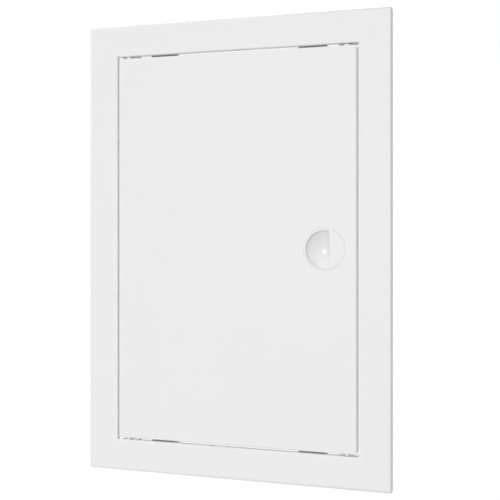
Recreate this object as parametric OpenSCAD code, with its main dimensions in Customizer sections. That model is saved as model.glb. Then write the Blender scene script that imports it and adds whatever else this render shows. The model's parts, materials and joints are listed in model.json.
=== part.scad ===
// Plastic access panel: a frame with a collar that goes into the wall or ceiling, and a door
// that swings on two pins, with a round finger pull. X runs to the right, Y into the wall, Z up.
// The origin is the middle of the opening, on the wall plane where the face plate rests.

/* [Frame] */
// Width of the face plate
face_w = 218; // [190:1:420]
// Height of the face plate
face_h = 318; // [240:1:620]
// Thickness of the face plate
face_t = 3; // [2.8:0.1:4]
// Width of the border around the door
border = 22.4; // [20:0.1:26]
// Radius of the plate's outer corners
corner_r = 2; // [1.6:0.1:4]
// Rounding of the plate's outer front edge
outer_edge_r = 2.3; // [0.8:0.1:2.6]
// Rounding of the opening's front edge
inner_edge_r = 1.6; // [0.8:0.1:2]

/* [Collar] */
// Step from the edge of the plate in to the collar's outside
collar_inset = 11; // [10:0.5:11]
// Wall of the collar
collar_wall = 2; // [1.5:0.1:2]
// Depth of the collar behind the plate
collar_depth = 20; // [19:1:60]
// Hole for a fixing screw
fixing_d = 4.5; // [3.5:0.1:5.5]
// Distance of the fixing holes behind the plate
fixing_back = 14; // [13:0.5:15]
// Fixing holes' distance from the middle of a long wall
fixing_z = 100; // [60:1:110]
// Fixing holes' distance from the middle of a short wall
fixing_x = 60; // [40:1:70]
// Thickness of the webs behind the border
web_t = 1.6; // [1.2:0.1:2.4]
// Reach of the webs along the collar
web_reach = 8; // [4:0.5:10]
// Webs nearer the middle, from the middle of a long side
web_inner_z = 40; // [20:1:60]
// Webs nearer the ends, from the middle of a long side
web_outer_z = 85; // [70:1:92]

/* [Door] */
// Gap at each side of the door
side_gap = 0.8; // [0.75:0.05:2]
// Gap above and below the door
end_gap = 1.15; // [0.8:0.05:2]
// Depth of the door's rim
door_depth = 10; // [9:0.5:11]
// Thickness of the door's skin
door_skin = 2.2; // [1.8:0.1:3]
// Thickness of the door's rim
door_wall = 2; // [1.6:0.1:2.4]
// Radius of the door's corners
door_corner_r = 2; // [1:0.1:3]
// Rounding of the door's front edge
door_edge_r = 1.1; // [0.5:0.1:1.4]
// Thickness of the ribs behind the skin
rib_t = 1.5; // [1:0.1:2]
// Height of the ribs behind the skin
rib_h = 4; // [2:0.5:5]
// Clear space between the pull's bowl and the nearest rib
rib_clear = 4; // [1:0.5:8]
// Cross ribs nearer the middle, from the middle of the door
rib_inner_z = 46; // [24:1:60]
// Cross ribs nearer the ends, from the middle of the door
rib_outer_z = 88; // [70:1:90]

/* [Hinge and catch] */
// Pin axis from the door's side
hinge_inset = 6.9; // [6.5:0.1:9]
// Pin axis behind the front of the panel
hinge_setback = 3.3; // [3.2:0.1:3.8]
// Diameter of the hinge pin
pin_d = 2.8; // [2.4:0.1:3]
// Diameter of the pin's shoulder
shoulder_d = 4; // [3.6:0.1:4.2]
// Length of pin inside the socket
pin_grip = 3; // [2:0.1:3.5]
// Length of pin inside the door
pin_root = 9; // [6:0.5:12]
// Wall of the boss around the pin's root
boss_wall = 1.6; // [1.2:0.1:1.8]
// Plastic left past the end of a pin's hole
hole_end = 1.5; // [1:0.1:2]
// Running clearance around the pin
pin_clear = 0.1; // [0.05:0.01:0.15]
// Clearance between a shoulder and its socket
thrust_clear = 0.15; // [0.1:0.01:0.3]
// Clearance of the pin's root in the door
root_clear = 0.04; // [0.02:0.01:0.1]
// Width of a socket
socket_w = 9.4; // [8:0.1:10]
// Height of a socket
socket_h = 6; // [5:0.1:6.5]
// Cheek beside a socket
cheek_t = 1.5; // [1.2:0.1:2]
// Depth of a socket's cheeks behind the plate
socket_back = 6; // [5.5:0.5:7]
// Step from the opening's edge up to a socket
socket_rise = 0.5; // [0.3:0.1:0.8]
// Plate left in front of a socket
socket_cover = 1; // [0.8:0.1:1.1]
// Flange at the back of a socket
socket_flange = 1.2; // [1:0.1:2]
// Clearance around clipped pieces
clip_clear = 0.1; // [0.05:0.01:0.15]
// Depth of the catch's hollow
catch_hollow = 0.4; // [0.3:0.1:0.8]

/* [Door stops] */
// Middle of a stop from the nearest pin's axis
stop_from_pin = 24.8; // [20:0.1:30]
// Step from the opening's edge up to a stop
stop_rise = 0.8; // [0.4:0.1:1.2]
// Width of a stop
stop_w = 19.8; // [16:0.1:22]
// Thickness of a stop
stop_t = 2; // [1.5:0.1:2.2]
// Lap of a stop's lip behind the door's rim
stop_lap = 3; // [2:0.5:5]
// Depth of a stop's hook
hook_t = 3; // [2:0.5:4]
// Rib that a stop clips over
stop_rib_t = 2; // [1.5:0.1:2.4]

/* [Finger pull] */
// Middle of the pull from the door's closing side
pull_inset = 21.7; // [20:0.1:26]
// Diameter of the hole in the door for the pull
pull_d = 28.3; // [24:0.1:34]
// Gap around the pull's cover
pull_gap = 0.08; // [0.03:0.01:0.15]
// Rim of the cover around the half-moon opening
moon_rim = 1.5; // [0.9:0.05:3]
// Straight edge of the opening, past the middle of the pull
moon_edge = 3.3; // [0:0.1:5]
// Rounding of the opening's front edge
moon_edge_r = 0.6; // [0.2:0.05:0.8]
// Width of each flank of the groove at the seam
seam_w = 1.15; // [0.4:0.05:1.5]
// Depth of the groove at the seam
seam_depth = 0.3; // [0.1:0.05:0.5]
// Distance of the bowl's centre in front of the cover's back
bowl_rise = 18; // [1:0.5:24]
// Wall of the bowl
bowl_wall = 1.5; // [1.2:0.1:2.5]
// Flange of the bowl past the hole
bowl_flange = 2; // [1:0.1:3]

/* [Hidden] */
$fn = 64;
arc_steps = 6;
eps = 0.5;
front = -face_t;
opening_w = face_w - 2 * border;
opening_h = face_h - 2 * border;
collar_w = face_w - 2 * collar_inset;
collar_h = face_h - 2 * collar_inset;
bore_w = collar_w - 2 * collar_wall;
bore_h = collar_h - 2 * collar_wall;
ledge = (bore_w - opening_w) / 2;
door_w = opening_w - 2 * side_gap;
door_h = opening_h - 2 * end_gap;
door_back = front + door_depth;
axis_x = door_w / 2 - hinge_inset;
axis_y = front + hinge_setback;
pull_x = door_w / 2 - pull_inset;
skin_back = front + door_skin;
moon_r = pull_d / 2 - moon_rim;
bowl_r = sqrt(moon_r * moon_r + bowl_rise * bowl_rise);
socket_z = opening_h / 2 + socket_rise;
stop_x = axis_x - stop_from_pin;
stop_z = opening_h / 2 + stop_rise;
stop_tip = door_h / 2 - stop_lap;
stop_back = door_back + stop_t;
hook_front = stop_back - hook_t;
rib_x = pull_x - pull_d / 2 - bowl_flange - rib_clear - rib_t / 2;
white_abs = [0.93, 0.93, 0.93];
white_pom = [0.95, 0.95, 0.94];

// Points of an arc, from angle a0 to angle a1
function arc(x, y, r, a0, a1) = [
    for (i = [0 : arc_steps])
        let (a = a0 + (a1 - a0) * i / arc_steps)
            [x + r * cos(a), y + r * sin(a)]
];

// Section of a slab of width w and depth t whose two front edges are rounded
function slab_section(w, t, r) = concat(
    [[-w / 2, t]],
    arc(-w / 2 + r, r, r, 180, 270),
    arc(w / 2 - r, r, r, 270, 360),
    [[w / 2, t]]
);

// Section of an opening through depth t, from x0 to a side at x1 that flares out at the front
function flared_section(x0, x1, t, r) = concat(
    [[x0, t + eps], [x0, -eps], [x1 + r, -eps]],
    arc(x1 + r, r, r, 270, 180),
    [[x1, t + eps]]
);

// Outline of a rectangle with round corners
function outline(w, h, r) = concat(
    arc(w / 2 - r, h / 2 - r, r, 0, 90),
    arc(-w / 2 + r, h / 2 - r, r, 90, 180),
    arc(-w / 2 + r, -h / 2 + r, r, 180, 270),
    arc(w / 2 - r, -h / 2 + r, r, 270, 360)
);

// Box from one corner to the other
module span(a, b) {
    translate(a)
        cube(b - a);
}

// Cylinder along Z from z0 to z1
module post(x, y, z0, z1, r) {
    translate([x, y, z0])
        cylinder(h = z1 - z0, r = r);
}

// Flat shape in X and Z, given depth t towards the back
module sheet(t) {
    rotate([-90, 0, 0])
        linear_extrude(t)
            children();
}

// Shape turned about the Y axis from a profile in radius and depth
module turned() {
    rotate([-90, 0, 0])
        rotate_extrude()
            children();
}

// Slab with its front at y = 0, round corners and round front edges
module slab(w, h, t, corner, edge) {
    intersection() {
        sheet(t)
            polygon(outline(w, h, corner));
        linear_extrude(h, center = true)
            polygon(slab_section(w, t, edge));
        rotate([0, 90, 0])
            linear_extrude(w, center = true)
                polygon(slab_section(h, t, edge));
    }
}

// Tool that cuts an opening with flared front edges
module flared_opening(w, h, t, edge) {
    intersection() {
        both_sides()
            linear_extrude(h + 4 * edge, center = true)
                polygon(flared_section(0, w / 2, t, edge));
        both_ends()
            rotate([0, -90, 0])
                linear_extrude(w + 4 * edge, center = true)
                    polygon(flared_section(0, h / 2, t, edge));
    }
}

// Both ends of the panel, the upper one and its mirror image
module both_ends() {
    children();
    mirror([0, 0, 1])
        children();
}

module both_sides() {
    children();
    mirror([1, 0, 0])
        children();
}

// The upper end, or the lower one as its mirror image
module at_end(lower) {
    mirror([0, 0, lower ? 1 : 0])
        children();
}

module fixing_holes() {
    for (z = [-fixing_z, fixing_z])
        translate([0, fixing_back, z])
            rotate([0, 90, 0])
                cylinder(h = collar_w + 2 * eps, d = fixing_d, center = true);
    for (x = [-fixing_x, fixing_x])
        translate([x, fixing_back, 0])
            cylinder(h = collar_h + 2 * eps, d = fixing_d, center = true);
}

// Cheeks that hold a socket, at the upper right
module socket_cheeks() {
    for (s = [-1, 1]) {
        inside = socket_w / 2 + clip_clear;
        x0 = axis_x + (s > 0 ? inside : -inside - cheek_t);
        span([x0, -eps, socket_z], [x0 + cheek_t, socket_back, socket_z + socket_h]);
    }
}

module socket_pocket() {
    half = socket_w / 2 + clip_clear;
    span([axis_x - half, front + socket_cover, opening_h / 2 - eps],
        [axis_x + half, eps, socket_z + socket_h + clip_clear]);
}

// Rib that a stop clips over, at the upper right
module stop_rib() {
    z0 = stop_z + stop_t;
    span([stop_x - stop_w / 2, -eps, z0], [stop_x + stop_w / 2, hook_front, z0 + stop_rib_t]);
}

// Triangular web between the border and the collar, on the right
module web(z) {
    translate([opening_w / 2, 0, z - web_t / 2])
        linear_extrude(web_t)
            polygon([[0, -eps], [ledge + eps, -eps], [ledge + eps, web_reach], [ledge, web_reach]]);
}

module frame() {
    color(white_abs)
    difference() {
        union() {
            difference() {
                translate([0, front, 0])
                    slab(face_w, face_h, face_t, corner_r, outer_edge_r);
                translate([0, front, 0])
                    flared_opening(opening_w, opening_h, face_t, inner_edge_r);
            }
            difference() {
                span([-collar_w / 2, -eps, -collar_h / 2], [collar_w / 2, collar_depth, collar_h / 2]);
                span([-bore_w / 2, -2 * eps, -bore_h / 2], [bore_w / 2, collar_depth + eps, bore_h / 2]);
            }
            both_ends() {
                both_sides() {
                    socket_cheeks();
                    stop_rib();
                    web(web_inner_z);
                    web(web_outer_z);
                }
            }
        }
        both_ends()
            both_sides()
                socket_pocket();
        fixing_holes();
    }
}

// Body of a socket at the upper right, before its hole is made
module socket_body() {
    half = socket_w / 2;
    wide = half + clip_clear + cheek_t;
    span([axis_x - half, front + socket_cover, socket_z], [axis_x + half, socket_back, socket_z + socket_h]);
    span([axis_x - wide, socket_back, socket_z],
        [axis_x + wide, socket_back + socket_flange, socket_z + socket_h]);
}

module hinge_socket(lower) {
    color(white_pom)
    at_end(lower)
        mirror([1, 0, 0])
            difference() {
                socket_body();
                post(axis_x, axis_y, socket_z - eps, socket_z + pin_grip + eps, pin_d / 2 + pin_clear);
            }
}

module catch_socket(lower) {
    color(white_pom)
    at_end(lower)
        difference() {
            socket_body();
            post(axis_x, axis_y, socket_z - eps, socket_z + catch_hollow, pin_d / 2 + pin_clear);
        }
}

// Door stop at the upper right: a clip over the frame's rib, with a lip behind the door's rim
module door_stop() {
    x0 = stop_x - stop_w / 2;
    x1 = stop_x + stop_w / 2;
    color(white_abs)
    union() {
        span([x0, 0, stop_z], [x1, stop_back, stop_z + stop_t]);
        span([x0, hook_front, stop_z], [x1, stop_back, stop_z + stop_t + stop_rib_t]);
        span([x0, door_back, stop_tip], [x1, stop_back, stop_z + stop_t]);
    }
}

// Ribs behind the door's skin
module door_ribs() {
    top = skin_back + rib_h;
    in_w = door_w / 2 - door_wall / 2;
    in_h = door_h / 2 - door_wall / 2;
    for (x = [-rib_x, 0, rib_x])
        span([x - rib_t / 2, skin_back - eps, -in_h], [x + rib_t / 2, top, in_h]);
    for (z = [-rib_outer_z, -rib_inner_z, rib_inner_z, rib_outer_z])
        span([-in_w, skin_back - eps, z - rib_t / 2], [in_w, top, z + rib_t / 2]);
}

module pin_boss() {
    post(axis_x, axis_y, door_h / 2 - pin_root - hole_end, door_h / 2 - door_wall / 2, pin_d / 2 + boss_wall);
}

module pin_hole() {
    post(axis_x, axis_y, door_h / 2 - pin_root - root_clear, door_h / 2 + eps, pin_d / 2 + root_clear);
}

module door() {
    color(white_abs)
    difference() {
        union() {
            difference() {
                translate([0, front, 0])
                    slab(door_w, door_h, door_depth, door_corner_r, door_edge_r);
                span([-door_w / 2 + door_wall, skin_back, -door_h / 2 + door_wall],
                    [door_w / 2 - door_wall, door_back + eps, door_h / 2 - door_wall]);
            }
            door_ribs();
            both_ends()
                both_sides()
                    pin_boss();
        }
        both_ends()
            both_sides()
                pin_hole();
        translate([pull_x, front, 0])
            turned()
                polygon([[0, -eps], [pull_d / 2 + seam_w, -eps], [pull_d / 2 + seam_w, 0],
                    [pull_d / 2, seam_depth], [pull_d / 2, door_skin + eps], [0, door_skin + eps]]);
    }
}

// Hinge pin at the upper right: root in the door, shoulder in the gap, pin in the socket
module hinge_pin(lower) {
    color(white_pom)
    at_end(lower)
        mirror([1, 0, 0])
            union() {
                post(axis_x, axis_y, door_h / 2 - pin_root, socket_z + pin_grip, pin_d / 2);
                post(axis_x, axis_y, door_h / 2, socket_z - thrust_clear, shoulder_d / 2);
            }
}

// Catch stud: root in the door, and a shoulder low enough to swing out past the frame's edge
module catch_stud(lower) {
    color(white_pom)
    at_end(lower)
        union() {
            post(axis_x, axis_y, door_h / 2 - pin_root, door_h / 2 + eps, pin_d / 2);
            post(axis_x, axis_y, door_h / 2, opening_h / 2 - thrust_clear, shoulder_d / 2);
        }
}

// Cover of the finger pull: a disc with a half-moon opening and a lip to pull on
module pull_cover() {
    r = pull_d / 2 - pull_gap;
    color(white_abs)
    translate([pull_x, front, 0])
        difference() {
            turned()
                polygon([[0, 0], [r - seam_w, 0], [r, seam_depth], [r, door_skin], [0, door_skin]]);
            intersection() {
                turned()
                    polygon(flared_section(0, moon_r, door_skin, moon_edge_r));
                linear_extrude(2 * pull_d, center = true)
                    polygon(flared_section(-pull_d, moon_edge, door_skin, moon_edge_r));
            }
        }
}

// Bowl behind the cover, with a flange on the back of the skin
module pull_cup() {
    color(white_abs)
    translate([pull_x, skin_back, 0])
        turned()
            intersection() {
                difference() {
                    union() {
                        translate([0, -bowl_rise])
                            circle(bowl_r + bowl_wall);
                        square([pull_d / 2 + bowl_flange, bowl_wall]);
                    }
                    translate([0, -bowl_rise])
                        circle(bowl_r);
                }
                square(pull_d);
            }
}

frame();
hinge_socket(false);  // hinge_socket_upper
hinge_socket(true);  // hinge_socket_lower
catch_socket(false);  // catch_socket_upper
catch_socket(true);  // catch_socket_lower
mirror([1, 0, 0]) door_stop();  // stop_upper_left
mirror([0, 0, 1]) mirror([1, 0, 0]) door_stop();  // stop_lower_left
door_stop();  // stop_upper_right
mirror([0, 0, 1]) door_stop();  // stop_lower_right
door();
hinge_pin(false);  // hinge_pin_upper
hinge_pin(true);  // hinge_pin_lower
catch_stud(false);  // catch_stud_upper
catch_stud(true);  // catch_stud_lower
pull_cover();
pull_cup();
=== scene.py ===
"""White plastic access panel: finish of every piece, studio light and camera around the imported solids."""

import json
import math

import bpy
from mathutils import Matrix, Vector


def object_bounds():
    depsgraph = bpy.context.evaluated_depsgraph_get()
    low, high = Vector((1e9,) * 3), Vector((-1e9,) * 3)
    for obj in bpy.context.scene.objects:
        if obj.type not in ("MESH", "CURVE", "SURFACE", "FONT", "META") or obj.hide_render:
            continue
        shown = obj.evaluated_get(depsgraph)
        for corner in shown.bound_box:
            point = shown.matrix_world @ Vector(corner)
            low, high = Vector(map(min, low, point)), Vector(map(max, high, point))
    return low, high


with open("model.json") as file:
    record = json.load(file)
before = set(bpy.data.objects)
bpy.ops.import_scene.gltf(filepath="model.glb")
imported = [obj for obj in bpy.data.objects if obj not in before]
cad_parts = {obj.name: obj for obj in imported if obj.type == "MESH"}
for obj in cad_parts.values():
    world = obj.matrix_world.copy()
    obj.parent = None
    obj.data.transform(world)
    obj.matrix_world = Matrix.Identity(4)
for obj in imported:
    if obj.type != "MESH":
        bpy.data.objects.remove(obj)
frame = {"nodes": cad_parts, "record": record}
cad_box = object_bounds()

MM = 0.001

# Camera: level, to the right of the panel and turned left, as the photograph's lines show
PHOTO_SIDE_PX = 500
SENSOR_MM = 36.0
FOCAL_PX = 851.6
HORIZON_PX = 227.4
LEVEL_DEG = 90.0
YAW_DEG = 16.78
CAMERA_PLACE = (180.4 * MM, -560.0 * MM, 14.8 * MM)
CLIP_START = 10 * MM

# Studio: soft light, most of it from the front, that fades towards straight below;
# where it is seen directly it is plain white
WHITE = (1, 1, 1, 1)
SEEN_STRENGTH = 1.0
FROM_LEFT, FROM_FRONT, FROM_ABOVE = 0.35, 1.32, 0.10
FADE_LOW, FADE_HIGH = -1.2, 0.2

# Lamps: one at the left, one behind, and a small one in front that shows as a dot in the pull's bowl;
# angles in degrees, distances and sizes in metres
KEY_AZIMUTH, KEY_ELEVATION, KEY_DISTANCE = -60.0, 25.0, 4.0
KEY_SIZE, KEY_WATTS = 1.5, 10.5
BACK_AZIMUTH, BACK_ELEVATION, BACK_DISTANCE = -155.0, 20.0, 4.0
BACK_SIZE, BACK_WATTS = 3.0, 60.0
DOT_AZIMUTH, DOT_ELEVATION, DOT_DISTANCE = -4.1, 6.3, 1.5
DOT_SIZE, DOT_WATTS = 0.33, 3.3

# Floor, well below the panel: pale where the shadow falls, white further out
FLOOR_COLOUR = (0.70, 0.70, 0.70, 1)
FLOOR_ROUGH = 0.9
FLOOR_LIFT = 0.60
FLOOR_DROP = 450 * MM
FLOOR_SIDE = 1.05
FLOOR_SHADE_R = 250 * MM
FLOOR_WHITE_R = 500 * MM

# Plastic: rougher on front faces than on what turns away, between these two values of the normal's Y;
# colour and roughness vary in soft clouds, the roughness by this share
FACE_TURN, EDGE_TURN = -0.999, -0.97
CLOUD = 60 * MM
CLOUD_DETAIL = 3
ROUGH_SPREAD = 0.12
GRAIN_DETAIL = 2

# Edges flatter than this are shaded smooth, once corners that lie this close are joined
SMOOTH_DEG = 32.0
WELD = 0.002 * MM


def make_camera():
    """Camera at the photograph's angle, with its horizon a little above the middle."""
    data = bpy.data.cameras.new("camera")
    data.sensor_width = SENSOR_MM
    data.lens = FOCAL_PX * SENSOR_MM / PHOTO_SIDE_PX
    data.shift_y = (HORIZON_PX - PHOTO_SIDE_PX / 2) / PHOTO_SIDE_PX
    data.clip_start = CLIP_START
    camera = bpy.data.objects.new("camera", data)
    camera.location = CAMERA_PLACE
    camera.rotation_euler = (math.radians(LEVEL_DEG), 0, math.radians(YAW_DEG))
    bpy.context.collection.objects.link(camera)
    bpy.context.scene.camera = camera


def make_lamp(name, azimuth, elevation, distance, size, watts):
    """Round lamp aimed at the panel; azimuth is from the panel's front towards its right."""
    data = bpy.data.lights.new(name, "AREA")
    data.shape = "DISK"
    data.size = size
    data.energy = watts
    turn, rise = math.radians(azimuth), math.radians(elevation)
    towards = Vector((math.sin(turn) * math.cos(rise), -math.cos(turn) * math.cos(rise), math.sin(rise)))
    lamp = bpy.data.objects.new(name, data)
    lamp.location = towards * distance
    lamp.rotation_euler = (-towards).to_track_quat("-Z", "Y").to_euler()
    bpy.context.collection.objects.link(lamp)


def seen_directly(nodes, links):
    """Socket that is 1 for what the camera sees itself, in a reflection or through glass."""
    path = nodes.new("ShaderNodeLightPath")
    mirrored = nodes.new("ShaderNodeMath")
    mirrored.operation = "MAXIMUM"
    links.new(path.outputs["Is Camera Ray"], mirrored.inputs[0])
    links.new(path.outputs["Is Glossy Ray"], mirrored.inputs[1])
    seen = nodes.new("ShaderNodeMath")
    seen.operation = "MAXIMUM"
    links.new(mirrored.outputs["Value"], seen.inputs[0])
    links.new(path.outputs["Is Transmission Ray"], seen.inputs[1])
    return seen.outputs["Value"]


def make_world():
    """Soft light that differs from side to side, seen as plain white by the camera and in reflections."""
    world = bpy.data.worlds.new("studio")
    bpy.context.scene.world = world
    world.use_nodes = True
    nodes, links = world.node_tree.nodes, world.node_tree.links
    background = nodes["Background"]
    background.inputs["Color"].default_value = WHITE
    place = nodes.new("ShaderNodeTexCoord")
    sides = nodes.new("ShaderNodeVectorMath")
    sides.operation = "MULTIPLY"
    sides.inputs[1].default_value = (-FROM_LEFT, -FROM_FRONT, FROM_ABOVE)
    links.new(place.outputs["Generated"], sides.inputs[0])
    lit_sides = nodes.new("ShaderNodeVectorMath")
    lit_sides.operation = "MAXIMUM"
    lit_sides.inputs[1].default_value = (0, 0, 0)
    links.new(sides.outputs["Vector"], lit_sides.inputs[0])
    level = nodes.new("ShaderNodeVectorMath")
    level.operation = "DOT_PRODUCT"
    level.inputs[1].default_value = (1, 1, 1)
    links.new(lit_sides.outputs["Vector"], level.inputs[0])
    towards = nodes.new("ShaderNodeSeparateXYZ")
    links.new(place.outputs["Generated"], towards.inputs["Vector"])
    fade = nodes.new("ShaderNodeMapRange")
    fade.inputs["From Min"].default_value = FADE_LOW
    fade.inputs["From Max"].default_value = FADE_HIGH
    links.new(towards.outputs["Z"], fade.inputs["Value"])
    faded = nodes.new("ShaderNodeMath")
    faded.operation = "MULTIPLY"
    links.new(level.outputs["Value"], faded.inputs[0])
    links.new(fade.outputs["Result"], faded.inputs[1])
    strength = nodes.new("ShaderNodeMix")
    links.new(seen_directly(nodes, links), strength.inputs["Factor"])
    links.new(faded.outputs["Value"], strength.inputs["A"])
    strength.inputs["B"].default_value = SEEN_STRENGTH
    links.new(strength.outputs["Result"], background.inputs["Strength"])


def make_floor():
    """Pale floor that takes the panel's shadow; where it is seen it glows, and turns white further out."""
    bpy.ops.mesh.primitive_plane_add(size=FLOOR_SIDE, location=(0, 0, cad_box[0][2] - FLOOR_DROP))
    floor = bpy.context.object
    floor.name = "floor"
    material = bpy.data.materials.new("floor_pale")
    material.use_nodes = True
    nodes, links = material.node_tree.nodes, material.node_tree.links
    shader = nodes["Principled BSDF"]
    shader.inputs["Base Color"].default_value = FLOOR_COLOUR
    shader.inputs["Roughness"].default_value = FLOOR_ROUGH
    shader.inputs["Emission Color"].default_value = WHITE
    place = nodes.new("ShaderNodeTexCoord")
    radius = nodes.new("ShaderNodeVectorMath")
    radius.operation = "LENGTH"
    links.new(place.outputs["Object"], radius.inputs[0])
    far = nodes.new("ShaderNodeMapRange")
    far.interpolation_type = "SMOOTHSTEP"
    far.inputs["From Min"].default_value = FLOOR_SHADE_R
    far.inputs["From Max"].default_value = FLOOR_WHITE_R
    far.inputs["To Min"].default_value = FLOOR_LIFT
    links.new(radius.outputs["Value"], far.inputs["Value"])
    glow = nodes.new("ShaderNodeMath")
    glow.operation = "MULTIPLY"
    links.new(far.outputs["Result"], glow.inputs[0])
    links.new(seen_directly(nodes, links), glow.inputs[1])
    links.new(glow.outputs["Value"], shader.inputs["Emission Strength"])
    floor.data.materials.append(material)


def make_plastic(name, light, dark, face_rough, edge_rough, grain_mm, grain_depth_mm):
    """Moulded plastic: slightly cloudy colour and gloss, and a fine grain from the mould."""
    material = bpy.data.materials.new(name)
    material.use_nodes = True
    nodes, links = material.node_tree.nodes, material.node_tree.links
    shader = nodes["Principled BSDF"]
    place = nodes.new("ShaderNodeTexCoord")

    cloud = nodes.new("ShaderNodeTexNoise")
    cloud.inputs["Scale"].default_value = 1 / CLOUD
    cloud.inputs["Detail"].default_value = CLOUD_DETAIL
    links.new(place.outputs["Object"], cloud.inputs["Vector"])
    tint = nodes.new("ShaderNodeMix")
    tint.data_type = "RGBA"
    tint.inputs["A"].default_value = (*dark, 1)
    tint.inputs["B"].default_value = (*light, 1)
    links.new(cloud.outputs["Fac"], tint.inputs["Factor"])
    links.new(tint.outputs["Result"], shader.inputs["Base Color"])

    facing = nodes.new("ShaderNodeSeparateXYZ")
    links.new(place.outputs["Normal"], facing.inputs["Vector"])
    turn = nodes.new("ShaderNodeMapRange")
    turn.inputs["From Min"].default_value = EDGE_TURN
    turn.inputs["From Max"].default_value = FACE_TURN
    turn.inputs["To Min"].default_value = edge_rough
    turn.inputs["To Max"].default_value = face_rough
    links.new(facing.outputs["Y"], turn.inputs["Value"])
    gloss = nodes.new("ShaderNodeMapRange")
    gloss.inputs["To Min"].default_value = 1 - ROUGH_SPREAD
    gloss.inputs["To Max"].default_value = 1 + ROUGH_SPREAD
    links.new(cloud.outputs["Fac"], gloss.inputs["Value"])
    rough = nodes.new("ShaderNodeMath")
    rough.operation = "MULTIPLY"
    links.new(turn.outputs["Result"], rough.inputs[0])
    links.new(gloss.outputs["Result"], rough.inputs[1])
    links.new(rough.outputs["Value"], shader.inputs["Roughness"])

    grain = nodes.new("ShaderNodeTexNoise")
    grain.inputs["Scale"].default_value = 1 / (grain_mm * MM)
    grain.inputs["Detail"].default_value = GRAIN_DETAIL
    links.new(place.outputs["Object"], grain.inputs["Vector"])
    bump = nodes.new("ShaderNodeBump")
    bump.inputs["Distance"].default_value = grain_depth_mm * MM
    links.new(grain.outputs["Fac"], bump.inputs["Height"])
    links.new(bump.outputs["Normal"], shader.inputs["Normal"])
    return material


def make_smoothing():
    """Node group that joins a solid's faces and shades every flat enough edge smooth."""
    group = bpy.data.node_groups.new("smooth_edges", "GeometryNodeTree")
    group.interface.new_socket("Mesh", in_out="INPUT", socket_type="NodeSocketGeometry")
    group.interface.new_socket("Mesh", in_out="OUTPUT", socket_type="NodeSocketGeometry")
    nodes, links = group.nodes, group.links
    entry = nodes.new("NodeGroupInput")
    weld = nodes.new("GeometryNodeMergeByDistance")
    weld.inputs["Distance"].default_value = WELD
    angle = nodes.new("GeometryNodeInputMeshEdgeAngle")
    sharp = nodes.new("ShaderNodeMath")
    sharp.operation = "GREATER_THAN"
    sharp.inputs[1].default_value = math.radians(SMOOTH_DEG)
    normal = nodes.new("GeometryNodeSetMeshNormal")
    normal.mode = "SHARPNESS"
    normal.inputs["Remove Custom"].default_value = True
    leave = nodes.new("NodeGroupOutput")
    links.new(entry.outputs["Mesh"], weld.inputs["Geometry"])
    links.new(weld.outputs["Geometry"], normal.inputs["Mesh"])
    links.new(angle.outputs["Unsigned Angle"], sharp.inputs[0])
    links.new(sharp.outputs["Value"], normal.inputs["Edge Sharpness"])
    links.new(normal.outputs["Mesh"], leave.inputs["Mesh"])
    return group


def finish_node(node, material, smoothing):
    """Gives a solid its material and its smooth shading; its shape stays as it is."""
    node.data.materials.clear()
    node.data.materials.append(material)
    smooth = node.modifiers.new("smooth", "NODES")
    smooth.node_group = smoothing
    weighted = node.modifiers.new("weighted", "WEIGHTED_NORMAL")
    weighted.keep_sharp = True


make_camera()
make_world()
make_lamp("key_lamp", KEY_AZIMUTH, KEY_ELEVATION, KEY_DISTANCE, KEY_SIZE, KEY_WATTS)
make_lamp("back_lamp", BACK_AZIMUTH, BACK_ELEVATION, BACK_DISTANCE, BACK_SIZE, BACK_WATTS)
make_lamp("dot_lamp", DOT_AZIMUTH, DOT_ELEVATION, DOT_DISTANCE, DOT_SIZE, DOT_WATTS)
make_floor()

plastics = {
    "white_abs": make_plastic(
        "abs_white", light=(0.86, 0.86, 0.86), dark=(0.84, 0.84, 0.84),
        face_rough=0.50, edge_rough=0.28, grain_mm=0.5, grain_depth_mm=0.004),
    "white_pom": make_plastic(
        "pom_white", light=(0.87, 0.87, 0.86), dark=(0.85, 0.85, 0.84),
        face_rough=0.40, edge_rough=0.40, grain_mm=0.4, grain_depth_mm=0.006),
}
smoothing = make_smoothing()
for part in frame["record"]["subparts"]:
    finish_node(frame["nodes"][part["node"]], plastics[part["material_slot"]], smoothing)
polished = make_plastic(
    "abs_polished", light=(0.87, 0.87, 0.87), dark=(0.85, 0.85, 0.85),
    face_rough=0.14, edge_rough=0.14, grain_mm=0.8, grain_depth_mm=0.0)
frame["nodes"]["pull_cup"].data.materials[0] = polished

bpy.context.scene.view_settings.view_transform = "Standard"
